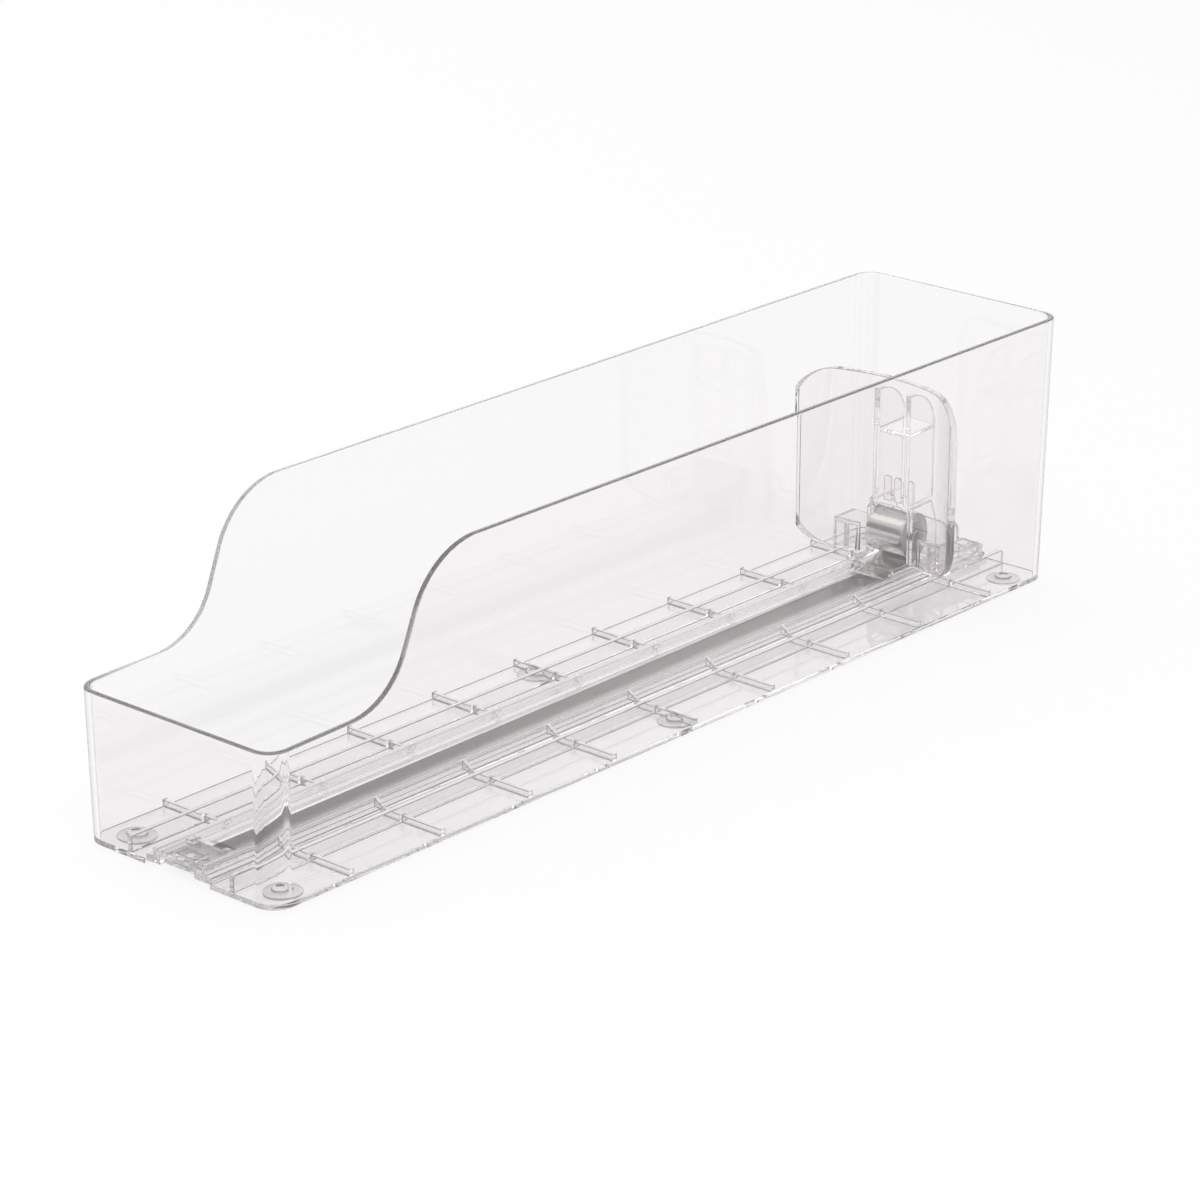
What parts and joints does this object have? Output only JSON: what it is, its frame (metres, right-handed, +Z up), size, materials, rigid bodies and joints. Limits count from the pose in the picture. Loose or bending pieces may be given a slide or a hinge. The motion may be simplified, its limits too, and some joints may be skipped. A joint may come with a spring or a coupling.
{
  "type": "drink tray with a spring-loaded pusher",
  "caption": "Long clear plastic fridge tray with a lowered front, a ribbed floor, and a curved plate on a sled that a coiled steel band draws forward along a channel.",
  "frame": {"origin": "the middle of the tray, on the surface that the foot pads stand on", "axes": "+Z up; +Y along the tray to its tall back wall; the low front wall faces -Y; +X across the tray"},
  "size_m": [0.086, 0.3823, 0.0968],
  "materials": {
    "clear_plastic": "clear moulded plastic, polished",
    "spring_steel": "rolled spring steel, half bright",
    "drum_plastic": "dark moulded plastic",
    "clear_rubber": "clear soft pad"
  },
  "bodies": {
    "base": {"tray": "clear_plastic", "spring_anchor_clip": "clear_plastic", "spring_strip": "spring_steel", "foot_pad_left_front": "clear_rubber", "foot_pad_left_middle": "clear_rubber", "foot_pad_left_back": "clear_rubber", "foot_pad_right_front": "clear_rubber", "foot_pad_right_middle": "clear_rubber", "foot_pad_right_back": "clear_rubber"},
    "pusher": {"pusher_plate": "clear_plastic", "pusher_sled": "clear_plastic", "spring_lead": "spring_steel"},
    "coil": {"spring_drum": "drum_plastic", "spring_coil": "spring_steel"}
  },
  "joints": [
    {"name": "pusher_slide", "type": "slide", "parent": "base", "child": "pusher", "axis": [0, 1, 0], "range_m": [-0.313, 0.0145], "deforming": ["spring_strip"]},
    {"name": "coil_spin", "type": "hinge", "parent": "pusher", "child": "coil", "pos_m": [0, 0.1559, 0.0176], "axis": [1, 0, 0], "range_deg": [-100, 2140]}
  ],
  "couplings": [
    {"joint": "coil_spin", "follows": "pusher_slide", "rad_per_m": -119.05}
  ]
}
